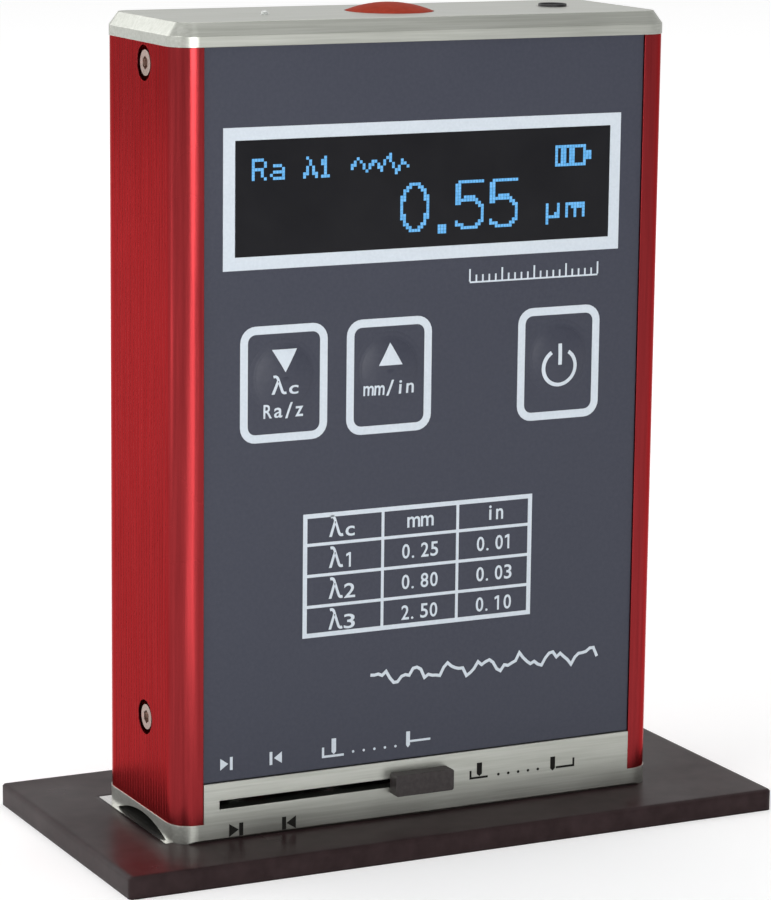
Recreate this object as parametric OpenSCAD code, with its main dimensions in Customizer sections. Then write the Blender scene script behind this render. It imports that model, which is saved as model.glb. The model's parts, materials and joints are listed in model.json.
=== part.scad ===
// Pocket surface roughness tester, standing on its reference plate.
// Millimetres. X runs along the front to the right, Y from the front to the back, Z up.
// The origin lies under the tester's centre, on the underside of the plate.
// Heights inside the tester are counted from its feet, which rest on the plate's top face.

/* [Body] */
// Width of the red housing
body_w = 72.7; // [70:0.1:77]
// Depth of the red housing
body_d = 25; // [24.5:0.5:28]
// Height from the feet to the top face of the cap
body_h = 108.5; // [106:0.5:120]
// Radius of the upright corners
corner_r = 3.2; // [2.4:0.1:4]
// Thickness of the side walls
side_wall = 2; // [1.8:0.1:2.4]
// Thickness of the back wall
back_wall = 2; // [1.5:0.1:2.4]
// Width of the red strip on each side of the front panel
strip_w = 3.9; // [3:0.05:4.6]
// Distance from one fine side groove to the next
groove_pitch = 0.9; // [0.7:0.1:2.5]
// Depth of a fine side groove
groove_depth = 0.05; // [0.03:0.01:0.4]

/* [Cap and base] */
// Height of the cap above the housing
cap_h = 3.1; // [2.6:0.1:5]
// Inward reach of the cap's bevel
cap_bevel_in = 1.25; // [0.8:0.05:2.2]
// Height of the cap's bevel
cap_bevel_h = 1.7; // [0.8:0.1:2]
// How far the cap and the base stand out past the housing
lip = 0.1; // [0.05:0.05:0.6]
// Height of the base's flange and floor
floor_h = 2.5; // [2.3:0.1:3.2]
// Height of the base's front apron
apron_h = 8; // [7.4:0.1:10]
// Height of the arch under the base
arch_h = 1.7; // [1:0.1:1.9]
// Width of the arch under the base
arch_w = 16.8; // [12:0.2:18]
// Distance of the arch behind the middle of the base
arch_y = -0.8; // [-1.5:0.1:1]

/* [Side screws] */
// Diameter of a screw head
head_d = 3.4; // [3:0.1:4]
// Diameter of the recess that a screw head sits in
recess_d = 4.7; // [4.2:0.1:5.2]
// Depth of that recess
recess_depth = 1.2; // [1.1:0.05:1.4]
// Distance of the screws behind the middle of the sides
screw_y = -1.8; // [-2.5:0.1:1]
// Height of the lower screws
screw_low_z = 15.1; // [13:0.1:15.4]
// Distance of the upper screws below the cap
screw_drop = 2.7; // [2.7:0.1:5]

/* [Front panel] */
// Thickness of the plate behind the printed film
panel_t = 1.4; // [1.2:0.1:1.8]
// Thickness of the printed film
film_t = 0.4; // [0.2:0.05:0.6]
// Depth of the film below the red strips
panel_recess = 0.3; // [0.1:0.05:0.6]
// Width of the display window
display_w = 55.5; // [50:0.5:56]
// Height of the display window
display_h = 15.2; // [12:0.2:17]
// Sideways place of the display window
display_x = -0.2; // [-0.6:0.1:0.6]
// Distance from the cap down to the middle of the display window
display_drop = 19.7; // [17:0.1:22]

/* [Keys] */
// Diameter of a key's dome
key_d = 9; // [7:0.1:10]
// Rise of a key's dome
key_rise = 0.5; // [0.3:0.05:0.8]
// Press of a key
key_travel = 0.4; // [0.2:0.05:0.5]
// Distance from the middle of the display window down to the row of keys
key_drop = 23.6; // [20:0.1:27]
// Sideways place of the down key
down_key_x = -20.9; // [-22:0.1:-18]
// Sideways place of the up key
up_key_x = -5.5; // [-8:0.1:2]
// Sideways place of the power key
power_key_x = 20.2; // [14:0.1:21]

/* [Top controls] */
// Diameter of the start button
start_d = 11.9; // [9:0.1:13]
// Rise of the start button's dome
start_rise = 1.15; // [0.6:0.05:1.6]
// Press of the start button
start_travel = 0.8; // [0.4:0.05:0.9]
// Diameter of the charge lamp's light pipe
lamp_d = 1.3; // [1:0.1:2.5]
// Sideways place of the charge lamp
lamp_x = -19; // [-24:0.1:-15]
// Depth place of the charge lamp
lamp_y = -1.4; // [-4:0.1:4]
// Diameter of the charging socket's bore
socket_d = 3.5; // [2.5:0.1:4]
// Sideways place of the charging socket
socket_x = 25.3; // [21:0.1:25.5]
// Depth place of the charging socket
socket_y = 0.6; // [-3:0.1:4]

/* [Slide and door] */
// Sideways place of the slide knob with the door open
knob_x = -0.5; // [-1:0.1:2]
// Width of the slide knob
knob_w = 8.8; // [7:0.1:9]
// Height of the slide knob
knob_h = 2.95; // [2.4:0.05:3.4]
// How far the slide knob stands out from the apron
knob_rise = 2; // [1.4:0.1:3]
// Height of the middle of the slot
slot_z = 4.95; // [4.6:0.05:5.2]
// Height of the slot
slot_h = 1.2; // [1.1:0.05:1.6]
// Travel of the slide and its door
door_travel = 27; // [24:0.5:27]
// Thickness of the door's sheet steel
door_t = 0.4; // [0.3:0.05:0.5]

/* [Pickup and drive] */
// Length of the trace that the pickup runs over
trace_l = 6; // [5:0.1:6.5]
// Sideways place of the pickup's nose at the start of the trace
nose_x = -8.5; // [-9.5:0.1:-7.5]
// Lift of the pickup when the door is closed
pickup_lift = 5; // [4.6:0.1:5.2]
// Height of the stylus tip above the plate at rest
tip_gap = 0.4; // [0.2:0.05:0.6]
// Diameter of the lead screw
screw_d = 3; // [2.5:0.1:3.5]
// Diameter of a guide rod
rod_d = 2; // [1.6:0.1:2.4]
// Diameter of a post that the pickup hangs from
post_d = 1.6; // [1.2:0.1:1.8]
// Height of the lead screw
drive_z = 25; // [24.6:0.1:27]
// Depth place of the lead screw
drive_y = 4; // [3.8:0.1:4.4]

/* [Boards and battery] */
// Thickness of the printed circuit boards
board_t = 1.2; // [1:0.1:1.6]
// Width of the battery
battery_w = 36; // [30:0.5:50]
// Thickness of the battery
battery_t = 6; // [4.5:0.1:6.6]

/* [Reference plate] */
// Width of the plate
plate_w = 97.3; // [90:0.1:110]
// Depth of the plate
plate_d = 47.2; // [44:0.2:56]
// Thickness of the plate
plate_t = 3; // [2.4:0.1:5]
// Sideways place of the plate under the tester
plate_x = 1.6; // [-4:0.1:4]
// Depth place of the plate under the tester
plate_y = 1.2; // [-3:0.1:3]
// Length of the bright specimen strip
specimen_w = 70.6; // [60:0.1:80]
// Width of the bright specimen strip
specimen_d = 23.7; // [18:0.1:26]
// Thickness of the bright specimen strip
specimen_t = 0.8; // [0.5:0.1:1.2]
// Sideways place of the specimen strip
specimen_x = -1.8; // [-6:0.1:4]

/* [Clearances] */
// Gap between pieces that are fixed to each other
fit = 0.05; // [0.03:0.01:0.08]
// Gap around pieces that slide or turn
run = 0.1; // [0.08:0.01:0.15]

/* [Hidden] */
$fn = 72;
eps = 0.01;
through = 1;

// Faces of the housing
front = -body_d / 2;
back_in = body_d / 2 - back_wall;
side = body_w / 2;
side_in = side - side_wall;
cap_z = body_h - cap_h;
display_z = cap_z - display_drop;
key_z = display_z - key_drop;
panel_half = side - strip_w;
film_y = front + panel_recess;
panel_y = film_y + film_t;
panel_back = panel_y + panel_t;
ledge_w = 1.1;
ledge_t = 1.5;
ledge_half = panel_half - ledge_w;
ledge_back = panel_back + ledge_t;
inner_r = 1;

// Side screws: head, shank and the lugs that they are driven into
head_h = 1;
shank_d = 2;
shank_l = 4.2;
hole_d = 2.4;
socket_af = 1.6;
screw_high_z = cap_z - screw_drop;
screw_seat = side - recess_depth;
lug_t = 3.5;
lug_d = 8;
lug_y = [screw_y - lug_d / 2, screw_y + lug_d / 2];
lug_rise = 3.4;
lug_out = side_in - fit;
lug_in = lug_out - lug_t;
wall_t = 1.7;
wall_d = 17;

// Cap
skirt_h = 2;
skirt_t = 1.2;

// Display stack, from the window back to its board
bezel = 1;
gasket_t = 0.4;
glass_w = display_w + 4;
glass_h = display_h + 5.8;
glass_t = 2;
glass_y = panel_back + gasket_t;
display_board_y = glass_y + glass_t;
display_board_h = glass_h + 1;
header_l = 2.2;
header_w = 20;
header_h = 2.5;
board_y = display_board_y + board_t + header_l;
board_back = board_y + board_t;

// Drive: chassis, motor, screw, rods, carriage
carriage_half = 5;
carriage_drop = 6;
carriage_rise = 5;
carriage_low = drive_z - carriage_drop;
carriage_top = drive_z + carriage_rise;
carriage_front = -5.4;
carriage_back_gap = 3.2;
carriage_back = drive_y + carriage_back_gap;
chassis_t = 2;
chassis_left_gap = 4.5;
chassis_right_gap = 3.5;
chassis_left = nose_x - carriage_half - chassis_left_gap;
chassis_right = nose_x + carriage_half + trace_l + chassis_right_gap;
chassis_low = 8;
chassis_rise = 9;
chassis_top = drive_z + chassis_rise;
chassis_gap = 0.7;
chassis_y = carriage_back + chassis_gap;
chassis_back = chassis_y + chassis_t;
rod_y = -3.5;
rod_drop = 3.5;
rod_rise = 3;
rod_z = [drive_z - rod_drop, drive_z + rod_rise];
nut_d = 6;
bush_d = 5;
motor_l = 24;
gear_l = 9;
motor_w = 10;
motor_h = 12;
motor_x = chassis_right + chassis_t;
motor_screw_z = 4.5;
motor_screw_d = 1.6;
motor_head_d = 2.6;
motor_head_h = 1.1;
screw_in = 2.5;
pillar_d = 4.4;
pillar_y = chassis_back - pillar_d / 2;
pillar_x = [chassis_left - chassis_t / 2, chassis_right + chassis_t / 2];
chassis_screw_d = 1.4;
chassis_head_d = 3;
chassis_head_h = 1;
chassis_head_z = 0.5;
chassis_screw_top = chassis_low + 3.5;

// Main board, its standoffs and its screws
board_half = 29;
board_gap = 6;
board_low = chassis_top + board_gap;
io_drop = 9;
io_z = cap_z - io_drop;
board_top_gap = 1.4;
board_top = io_z - board_top_gap;
standoff_d = 4.4;
standoff_x = 27;
standoff_inset = 5;
standoff_gap = 4.2;
standoff_z = [board_low + standoff_inset, display_z - glass_h / 2 - standoff_gap];
board_screw_l = 3.4;
board_head_h = 1.2;
board_head_d = 3.6;
chip_t = 1;
chip_low = 14;
chip_high = 13;

// Battery, between the drive and the board under the cap
battery_gap_low = 8;
battery_gap_top = 4.4;
battery_low = chassis_top + battery_gap_low;
battery_top = io_z - battery_gap_top;
tape_t = 0.4;
tape_half = 12;
tape_inset = 6;

// Keys and their switches
key_base = 0.5;
key_hole = key_d + 2 * run;
stem_d = 3.5;
switch_w = 6;
switch_h = 2.8;
switch_face = board_y - switch_h;
stem_in = 1.2;
stem_bore = 2.2;

// Start button and its switch
start_flange_d = start_d + 1.7;
start_flange_h = 1.1;
start_stem_d = 3.2;
start_switch_top = io_z + board_t + 3.4;
start_flange_z = cap_z - run - start_flange_h;
start_stem_in = 1.1;
start_bore = 2.2;
io_half = 28.6;
io_d = 13.6;
io_y = 0.6;
io_post_d = 4.5;
io_post_x = 12.5;
io_post_y = 5;
io_screw_l = 4;
jack_w = 6;
jack_wall = 0.45;
jack_nose_d = socket_d + 2 * jack_wall;
jack_top = cap_z - 0.5;
jack_floor = io_z + board_t + 1.4;

// Base, slot and door
apron_half = panel_half - fit;
apron_front = front - lip;
apron_back = panel_back - run;
arch_r = (arch_w * arch_w / 4 + arch_h * arch_h) / (2 * arch_h);
tongue_w = 5;
tongue_t = slot_h - 4 * run;
tongue_left = knob_x - tongue_w / 2;
slot_end = 0.15;
door_z = floor_h + fit;
door_top = door_z + door_t;
nose_half = 1;
window_gap = 0.5;
window_left = nose_x - nose_half - window_gap;
window_right = nose_x + trace_l + nose_half + window_gap;
window_half = 2.5;
door_lap = 0.5;
door_left = window_left - door_lap + door_travel;
door_right = window_right + door_lap + door_travel;
door_back = 5;
strip_back = -6;
strip_left = tongue_left - 0.5;
tab_y = apron_back + 0.9;
tab_top = slot_z + tongue_t / 2;
guide_back = door_back + 1.4;
guide_lap = 0.8;
guide_lip = 0.6;
guide_gap = 0.15;
guide_left = window_left - 1;
guide_right = door_right;
knob_wall = 0.9;
knob_back = apron_front - run;
knob_front = apron_front - knob_rise;
knob_edge = 0.35;

// Pickup
holder_half = 4.5;
holder_front = -2.8;
holder_back = 2.2;
holder_low = 8.6;
holder_top = carriage_low - pickup_lift - 0.4;
post_y = -0.5;
post_x = [nose_x - 3, nose_x + 3];
post_top = carriage_top + 1;
nose_low = 3.4;
nose_d = 2.4;
skid_r = 0.55;
skid_x = nose_x + 0.4;
stylus_x = nose_x - 0.65;
stylus_r = 0.3;
stylus_tip_r = 0.05;

// Helpers

module rounded_rect(w, d, r) {
    square([w - 2 * r, d], center = true);
    square([w, d - 2 * r], center = true);
    for (sx = [-1, 1], sy = [-1, 1])
        translate([sx * (w / 2 - r), sy * (d / 2 - r)])
            circle(r = r);
}

module block(x, y, z) {
    translate([x[0], y[0], z[0]])
        cube([x[1] - x[0], y[1] - y[0], z[1] - z[0]]);
}

module along_x(x0, x1) {
    translate([x0, 0, 0])
        rotate([90, 0, 90])
            linear_extrude(x1 - x0)
                children();
}

module along_y(y0, y1) {
    translate([0, y1, 0])
        rotate([90, 0, 0])
            linear_extrude(y1 - y0)
                children();
}

module along_z(z0, z1) {
    translate([0, 0, z0])
        linear_extrude(z1 - z0)
            children();
}

module rod_x(y, z, d, x0, x1) {
    translate([x0, y, z])
        rotate([0, 90, 0])
            cylinder(d = d, h = x1 - x0);
}

module pin_y(x, z, d, y0, y1) {
    translate([x, y1, z])
        rotate([90, 0, 0])
            cylinder(d = d, h = y1 - y0);
}

module post_z(x, y, d, z0, z1) {
    translate([x, y, z0])
        cylinder(d = d, h = z1 - z0);
}

// A cap of a sphere with the given width and rise, standing on the plane z = 0
module dome(d, rise) {
    ball_r = (d * d / 4 + rise * rise) / (2 * rise);
    intersection() {
        translate([0, 0, rise - ball_r])
            sphere(r = ball_r);
        cylinder(d = d, h = rise);
    }
}

// A block with rounded upright corners and a bevel of even width around its top
module bevelled_block(w, d, r, z0, z1, bevel_in, bevel_h) {
    z_mid = z1 - bevel_h;
    along_z(z0, z_mid)
        rounded_rect(w, d, r);
    along_x(-w / 2 + r, w / 2 - r)
        polygon([[-d / 2, z_mid], [d / 2, z_mid], [d / 2 - bevel_in, z1], [-d / 2 + bevel_in, z1]]);
    along_y(-d / 2 + r, d / 2 - r)
        polygon([[-w / 2, z_mid], [w / 2, z_mid], [w / 2 - bevel_in, z1], [-w / 2 + bevel_in, z1]]);
    for (sx = [-1, 1], sy = [-1, 1])
        translate([sx * (w / 2 - r), sy * (d / 2 - r), z_mid])
            cylinder(r1 = r, r2 = r - bevel_in, h = bevel_h);
}

// Moves a piece of the tester from its own feet up onto the plate
module on_plate() {
    translate([0, 0, plate_t])
        children();
}

// Reference plate

module sample_plate() {
    plate_r = 0.6;
    plate_bevel = 0.25;
    color([0.16, 0.14, 0.14])
        difference() {
            translate([plate_x, plate_y, 0])
                bevelled_block(plate_w, plate_d, plate_r, 0, plate_t, plate_bevel, plate_bevel);
            translate([specimen_x, plate_y, 0])
                block([-specimen_w / 2 - fit, specimen_w / 2 + fit],
                      [-specimen_d / 2 - fit, specimen_d / 2 + fit],
                      [plate_t - specimen_t, plate_t + through]);
        }
}

module specimen() {
    color([0.8, 0.8, 0.82])
        translate([specimen_x, plate_y, 0])
            block([-specimen_w / 2, specimen_w / 2], [-specimen_d / 2, specimen_d / 2],
                  [plate_t - specimen_t, plate_t]);
}

// Housing, cap and base

module housing_profile() {
    flat_front = front + corner_r + groove_pitch / 2;
    flat_back = -front - corner_r - groove_pitch / 2;
    groove_n = floor((flat_back - flat_front) / groove_pitch);
    groove_r = 2 * groove_depth;
    difference() {
        rounded_rect(body_w, body_d, corner_r);
        translate([0, (ledge_back + back_in) / 2])
            rounded_rect(2 * side_in, back_in - ledge_back, inner_r);
        translate([-ledge_half, panel_back - eps])
            square([2 * ledge_half, inner_r + ledge_t + eps]);
        translate([-panel_half, front - through])
            square([2 * panel_half, panel_back - front + through]);
        for (i = [0 : groove_n], s = [-1, 1])
            translate([s * (side + groove_r - groove_depth), flat_front + i * groove_pitch])
                circle(r = groove_r);
    }
}

module side_screw_cuts(z) {
    rod_x(screw_y, z, hole_d, -side - through, side + through);
    for (s = [0, 1])
        mirror([s, 0, 0])
            rod_x(screw_y, z, recess_d, screw_seat, side + through);
}

module housing() {
    color([0.62, 0.1, 0.13])
        difference() {
            along_z(floor_h, cap_z)
                housing_profile();
            // Room for the display glass between the ledges
            translate([display_x, 0, display_z])
                block([-glass_w / 2 - run, glass_w / 2 + run], [panel_back, ledge_back + inner_r],
                      [-display_board_h / 2 - run, display_board_h / 2 + run]);
            side_screw_cuts(screw_low_z);
            side_screw_cuts(screw_high_z);
        }
}

module side_screw(z) {
    difference() {
        union() {
            rod_x(screw_y, z, head_d, screw_seat, screw_seat + head_h);
            rod_x(screw_y, z, shank_d, screw_seat - shank_l, screw_seat);
        }
        translate([screw_seat + head_h / 2, screw_y, z])
            rotate([0, 90, 0])
                cylinder(d = socket_af / cos(30), h = head_h, $fn = 6);
    }
}

module side_screws() {
    color([0.75, 0.75, 0.76])
        for (s = [0, 1], z = [screw_low_z, screw_high_z])
            mirror([s, 0, 0])
                side_screw(z);
}

module lug_holes(z) {
    for (s = [0, 1])
        mirror([s, 0, 0])
            rod_x(screw_y, z, shank_d + 2 * fit, lug_in - through, side);
}

module top_cap() {
    color([0.7, 0.71, 0.68])
        difference() {
            union() {
                bevelled_block(body_w + 2 * lip, body_d + 2 * lip, corner_r + lip, cap_z, body_h,
                               cap_bevel_in, cap_bevel_h);
                difference() {
                    block([-lug_out, lug_out], [ledge_back + fit, back_in - fit], [cap_z - skirt_h, cap_z]);
                    block([-lug_out + skirt_t, lug_out - skirt_t],
                          [ledge_back + fit + skirt_t, back_in - fit - skirt_t],
                          [cap_z - skirt_h - through, cap_z]);
                    for (sx = [-1, 1])
                        translate([sx * lug_out, back_in - fit, 0])
                            block([-inner_r, inner_r], [-inner_r, inner_r],
                                  [cap_z - skirt_h - through, cap_z]);
                    for (sx = [-1, 1])
                        translate([sx * lug_out, ledge_back + fit, 0])
                            block([-inner_r, inner_r], [-inner_r, inner_r],
                                  [cap_z - skirt_h - through, cap_z]);
                }
                for (s = [0, 1])
                    mirror([s, 0, 0])
                        block([lug_in, lug_out], lug_y, [screw_high_z - lug_rise, cap_z]);
                for (sx = [-1, 1])
                    post_z(sx * io_post_x, io_post_y, io_post_d, io_z + board_t, cap_z);
            }
            lug_holes(screw_high_z);
            post_z(0, 0, start_d + 2 * run, cap_z - through, body_h + through);
            post_z(lamp_x, lamp_y, lamp_d + 2 * fit, cap_z - through, body_h + through);
            post_z(socket_x, socket_y, jack_nose_d + 2 * fit, cap_z - through, body_h + through);
            for (sx = [-1, 1])
                post_z(sx * io_post_x, io_post_y, shank_d + 2 * fit, io_z, io_z + board_t + io_screw_l);
        }
}

module base_solid() {
    along_z(0, floor_h)
        rounded_rect(body_w + 2 * lip, body_d + 2 * lip, corner_r + lip);
    block([-apron_half, apron_half], [apron_front, apron_back], [0, apron_h]);
    for (s = [0, 1])
        mirror([s, 0, 0]) {
            block([lug_out - wall_t, lug_out], [-wall_d / 2 + 1, wall_d / 2 + 1],
                  [floor_h - eps, screw_low_z + lug_rise]);
            block([lug_in, lug_out], lug_y, [chassis_low, screw_low_z + lug_rise]);
        }
    for (x = pillar_x)
        post_z(x, pillar_y, pillar_d, floor_h - eps, chassis_low);
    // Rail that the back edge of the door runs under
    block([guide_left, guide_right], [door_back + run, guide_back],
          [floor_h - eps, door_top + guide_gap]);
    block([guide_left, guide_right], [door_back - guide_lap, guide_back],
          [door_top + guide_gap, door_top + guide_gap + guide_lip]);
}

module base() {
    slot_left = tongue_left - door_travel - slot_end;
    slot_right = tongue_left + tongue_w + slot_end;
    foot_edge = 0.35;
    color([0.68, 0.68, 0.66])
        difference() {
            base_solid();
            // Arch along the underside
            rod_x(arch_y, arch_h - arch_r, 2 * arch_r, -side - through, side + through);
            // Measuring window
            block([window_left, window_right], [-window_half, window_half], [-through, floor_h + through]);
            // Slot for the slide
            block([slot_left, slot_right], [apron_front - through, apron_back + through],
                  [slot_z - slot_h / 2, slot_z + slot_h / 2]);
            // Broken front edge at the feet
            along_x(-side - through, side + through)
                polygon([[apron_front - eps, -eps], [apron_front + foot_edge, -eps],
                         [apron_front - eps, foot_edge]]);
            lug_holes(screw_low_z);
            for (x = pillar_x) {
                post_z(x, pillar_y, chassis_screw_d + 2 * fit, -through, chassis_low + through);
                post_z(x, pillar_y, chassis_head_d + 2 * run, -through, chassis_head_z + chassis_head_h);
            }
        }
}

// Front panel and display

module front_plate() {
    opening_w = display_w + 2 * bezel;
    opening_h = display_h + 2 * bezel;
    plate_low = apron_h + run;
    plate_top = cap_z - fit;
    color([0.3, 0.3, 0.32])
        difference() {
            block([-panel_half + fit, panel_half - fit], [panel_y, panel_back], [plate_low, plate_top]);
            translate([display_x, 0, display_z])
                block([-opening_w / 2, opening_w / 2], [panel_y - through, panel_back + through],
                      [-opening_h / 2, opening_h / 2]);
            for (x = [down_key_x, up_key_x, power_key_x])
                pin_y(x, key_z, key_hole + 2 * run, panel_y - through, panel_back + through);
        }
}

module film() {
    color([0.22, 0.22, 0.26])
        difference() {
            block([-panel_half + fit, panel_half - fit], [film_y, panel_y], [apron_h + run, cap_z - fit]);
            translate([display_x, 0, display_z])
                block([-display_w / 2, display_w / 2], [film_y - through, panel_y + through],
                      [-display_h / 2, display_h / 2]);
            for (x = [down_key_x, up_key_x, power_key_x])
                pin_y(x, key_z, key_hole, film_y - through, panel_y + through);
        }
}

module display_window() {
    face_w = display_w - 2 * fit;
    face_h = display_h - 2 * fit;
    foot_w = display_w + 2 * bezel - 2 * fit;
    foot_h = display_h + 2 * bezel - 2 * fit;
    color([0.08, 0.08, 0.1])
        translate([display_x, 0, display_z]) {
            block([-face_w / 2, face_w / 2], [film_y, panel_y + eps], [-face_h / 2, face_h / 2]);
            block([-foot_w / 2, foot_w / 2], [panel_y, panel_back], [-foot_h / 2, foot_h / 2]);
        }
}

module display_gasket() {
    color([0.1, 0.1, 0.1])
        translate([display_x, 0, display_z])
            difference() {
                block([-glass_w / 2, glass_w / 2], [panel_back, glass_y], [-glass_h / 2, glass_h / 2]);
                block([-display_w / 2, display_w / 2], [panel_back - through, glass_y + through],
                      [-display_h / 2, display_h / 2]);
            }
}

module display_glass() {
    color([0.05, 0.05, 0.06])
        translate([display_x, 0, display_z])
            block([-glass_w / 2, glass_w / 2], [glass_y, display_board_y], [-glass_h / 2, glass_h / 2]);
}

module display_board() {
    color([0.08, 0.28, 0.16])
        translate([display_x, 0, display_z])
            block([-glass_w / 2, glass_w / 2], [display_board_y, display_board_y + board_t],
                  [-display_board_h / 2, display_board_h / 2]);
}

module display_header() {
    color([0.06, 0.06, 0.06])
        translate([display_x, 0, display_z])
            block([-header_w / 2, header_w / 2], [board_y - header_l, board_y],
                  [-header_h / 2, header_h / 2]);
}

// Main board

module main_board() {
    color([0.08, 0.3, 0.17])
        difference() {
            block([-board_half, board_half], [board_y, board_back], [board_low, board_top]);
            for (sx = [-1, 1], z = standoff_z)
                pin_y(sx * standoff_x, z, hole_d, board_y - through, board_back + through);
        }
}

module board_chips() {
    chips = [[-12, board_low + chip_low, 10], [8, board_low + chip_low, 12],
             [-6, board_top - chip_high, 7], [14, board_top - chip_high, 8]];
    color([0.07, 0.07, 0.08])
        for (chip = chips)
            translate([chip[0], 0, chip[1]])
                block([-chip[2] / 2, chip[2] / 2], [board_back, board_back + chip_t],
                      [-chip[2] / 2, chip[2] / 2]);
}

module board_standoffs() {
    color([0.72, 0.6, 0.3])
        for (sx = [-1, 1], z = standoff_z)
            difference() {
                pin_y(sx * standoff_x, z, standoff_d, panel_back, board_y);
                pin_y(sx * standoff_x, z, shank_d + 2 * fit, board_y - board_screw_l, board_y + through);
            }
}

module board_screws() {
    color([0.7, 0.7, 0.72])
        for (sx = [-1, 1], z = standoff_z) {
            pin_y(sx * standoff_x, z, shank_d, board_y - board_screw_l + run, board_back);
            pin_y(sx * standoff_x, z, board_head_d, board_back, board_back + board_head_h);
        }
}

// Keys

module key_switches() {
    color([0.12, 0.12, 0.13])
        for (x = [down_key_x, up_key_x, power_key_x])
            difference() {
                translate([x, 0, key_z])
                    block([-switch_w / 2, switch_w / 2], [switch_face, board_y],
                          [-switch_w / 2, switch_w / 2]);
                pin_y(x, key_z, stem_d + 2 * run, switch_face - through, switch_face + stem_bore);
            }
}

module key(x) {
    translate([x, film_y, key_z])
        rotate([90, 0, 0])
            dome(key_d, key_rise);
    pin_y(x, key_z, key_d, film_y - eps, film_y + key_base);
    pin_y(x, key_z, stem_d, film_y, switch_face + stem_in);
}

module down_key() {
    color([0.22, 0.22, 0.26])
        key(down_key_x);
}

module up_key() {
    color([0.22, 0.22, 0.26])
        key(up_key_x);
}

module power_key() {
    color([0.22, 0.22, 0.26])
        key(power_key_x);
}

// Top controls

module start_button() {
    color([0.8, 0.22, 0.14]) {
        translate([0, 0, body_h])
            dome(start_d, start_rise);
        post_z(0, 0, start_d, start_flange_z, body_h + eps);
        post_z(0, 0, start_flange_d, start_flange_z, start_flange_z + start_flange_h);
        post_z(0, 0, start_stem_d, start_switch_top - start_stem_in, start_flange_z + eps);
    }
}

module start_switch() {
    color([0.12, 0.12, 0.13])
        difference() {
            block([-switch_w / 2, switch_w / 2], [-switch_w / 2, switch_w / 2],
                  [io_z + board_t, start_switch_top]);
            post_z(0, 0, start_stem_d + 2 * run, start_switch_top - start_bore, start_switch_top + through);
        }
}

module io_board() {
    color([0.08, 0.3, 0.17])
        difference() {
            block([-io_half, io_half], [io_y - io_d / 2, io_y + io_d / 2], [io_z, io_z + board_t]);
            for (sx = [-1, 1])
                post_z(sx * io_post_x, io_post_y, hole_d, io_z - through, io_z + board_t + through);
        }
}

module io_screws() {
    color([0.7, 0.7, 0.72])
        for (sx = [-1, 1]) {
            post_z(sx * io_post_x, io_post_y, shank_d, io_z - eps, io_z + board_t + io_screw_l - run);
            post_z(sx * io_post_x, io_post_y, board_head_d, io_z - board_head_h, io_z);
        }
}

module charge_jack() {
    color([0.1, 0.1, 0.1])
        difference() {
            union() {
                translate([socket_x, socket_y, 0])
                    block([-jack_w / 2, jack_w / 2], [-jack_w / 2, jack_w / 2], [io_z + board_t, jack_top]);
                post_z(socket_x, socket_y, jack_nose_d, jack_top - eps, body_h);
            }
            post_z(socket_x, socket_y, socket_d, jack_floor, body_h + through);
        }
}

module charge_lamp() {
    color([0.85, 0.85, 0.8])
        post_z(lamp_x, lamp_y, lamp_d, io_z + board_t, body_h);
}

// Battery

module battery() {
    color([0.55, 0.57, 0.6])
        block([-battery_w / 2, battery_w / 2], [back_in - tape_t - battery_t, back_in - tape_t],
              [battery_low, battery_top]);
}

module battery_tape() {
    color([0.85, 0.85, 0.83])
        block([-tape_half, tape_half], [back_in - tape_t, back_in],
              [battery_low + tape_inset, battery_top - tape_inset]);
}

// Slide and door

module slide_knob() {
    color([0.2, 0.19, 0.19])
        difference() {
            along_y(knob_front, knob_back)
                translate([knob_x, slot_z])
                    rounded_rect(knob_w, knob_h, knob_edge);
            // Pocket that the door's tongue is pressed into
            block([tongue_left - fit, tongue_left + tongue_w + fit], [knob_front + knob_wall, knob_back + through],
                  [slot_z - tongue_t / 2 - fit, slot_z + tongue_t / 2 + fit]);
        }
}

module door() {
    tongue_low = slot_z - tongue_t / 2;
    color([0.72, 0.72, 0.73]) {
        block([door_left, door_right], [strip_back - eps, door_back], [door_z, door_top]);
        block([strip_left, door_right], [tab_y, strip_back], [door_z, door_top]);
        block([strip_left, strip_left + tongue_w + 1], [tab_y, tab_y + door_t], [door_z, tab_top]);
        block([tongue_left, tongue_left + tongue_w], [knob_front + knob_wall + fit, tab_y + door_t],
              [tongue_low, tab_top]);
    }
}

// Drive

module drive_chassis() {
    color([0.6, 0.61, 0.62])
        difference() {
            union() {
                block([chassis_left - chassis_t, chassis_right + chassis_t], [chassis_y, chassis_back],
                      [chassis_low, chassis_top]);
                for (x = [chassis_left - chassis_t, chassis_right])
                    block([x, x + chassis_t], [carriage_front, chassis_back], [chassis_low, chassis_top]);
                for (x = pillar_x)
                    post_z(x, pillar_y, pillar_d, chassis_low, chassis_screw_top + 1);
            }
            rod_x(drive_y, drive_z, bush_d + 2 * fit, chassis_left - chassis_t - through, chassis_left + through);
            rod_x(drive_y, drive_z, screw_d + 1, chassis_right - through, chassis_right + chassis_t + through);
            for (z = rod_z)
                rod_x(rod_y, z, rod_d + 2 * fit, chassis_left - chassis_t - through,
                      chassis_right + chassis_t + through);
            for (s = [-1, 1])
                rod_x(drive_y, drive_z + s * motor_screw_z, motor_screw_d + 2 * fit, chassis_right - through,
                      chassis_right + chassis_t + through);
            for (x = pillar_x)
                post_z(x, pillar_y, chassis_screw_d + 2 * fit, chassis_low - through, chassis_screw_top);
        }
}

module chassis_screws() {
    color([0.7, 0.7, 0.72])
        for (x = pillar_x) {
            post_z(x, pillar_y, chassis_screw_d, chassis_head_z + chassis_head_h - eps, chassis_screw_top - run);
            post_z(x, pillar_y, chassis_head_d, chassis_head_z, chassis_head_z + chassis_head_h);
        }
}

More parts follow.
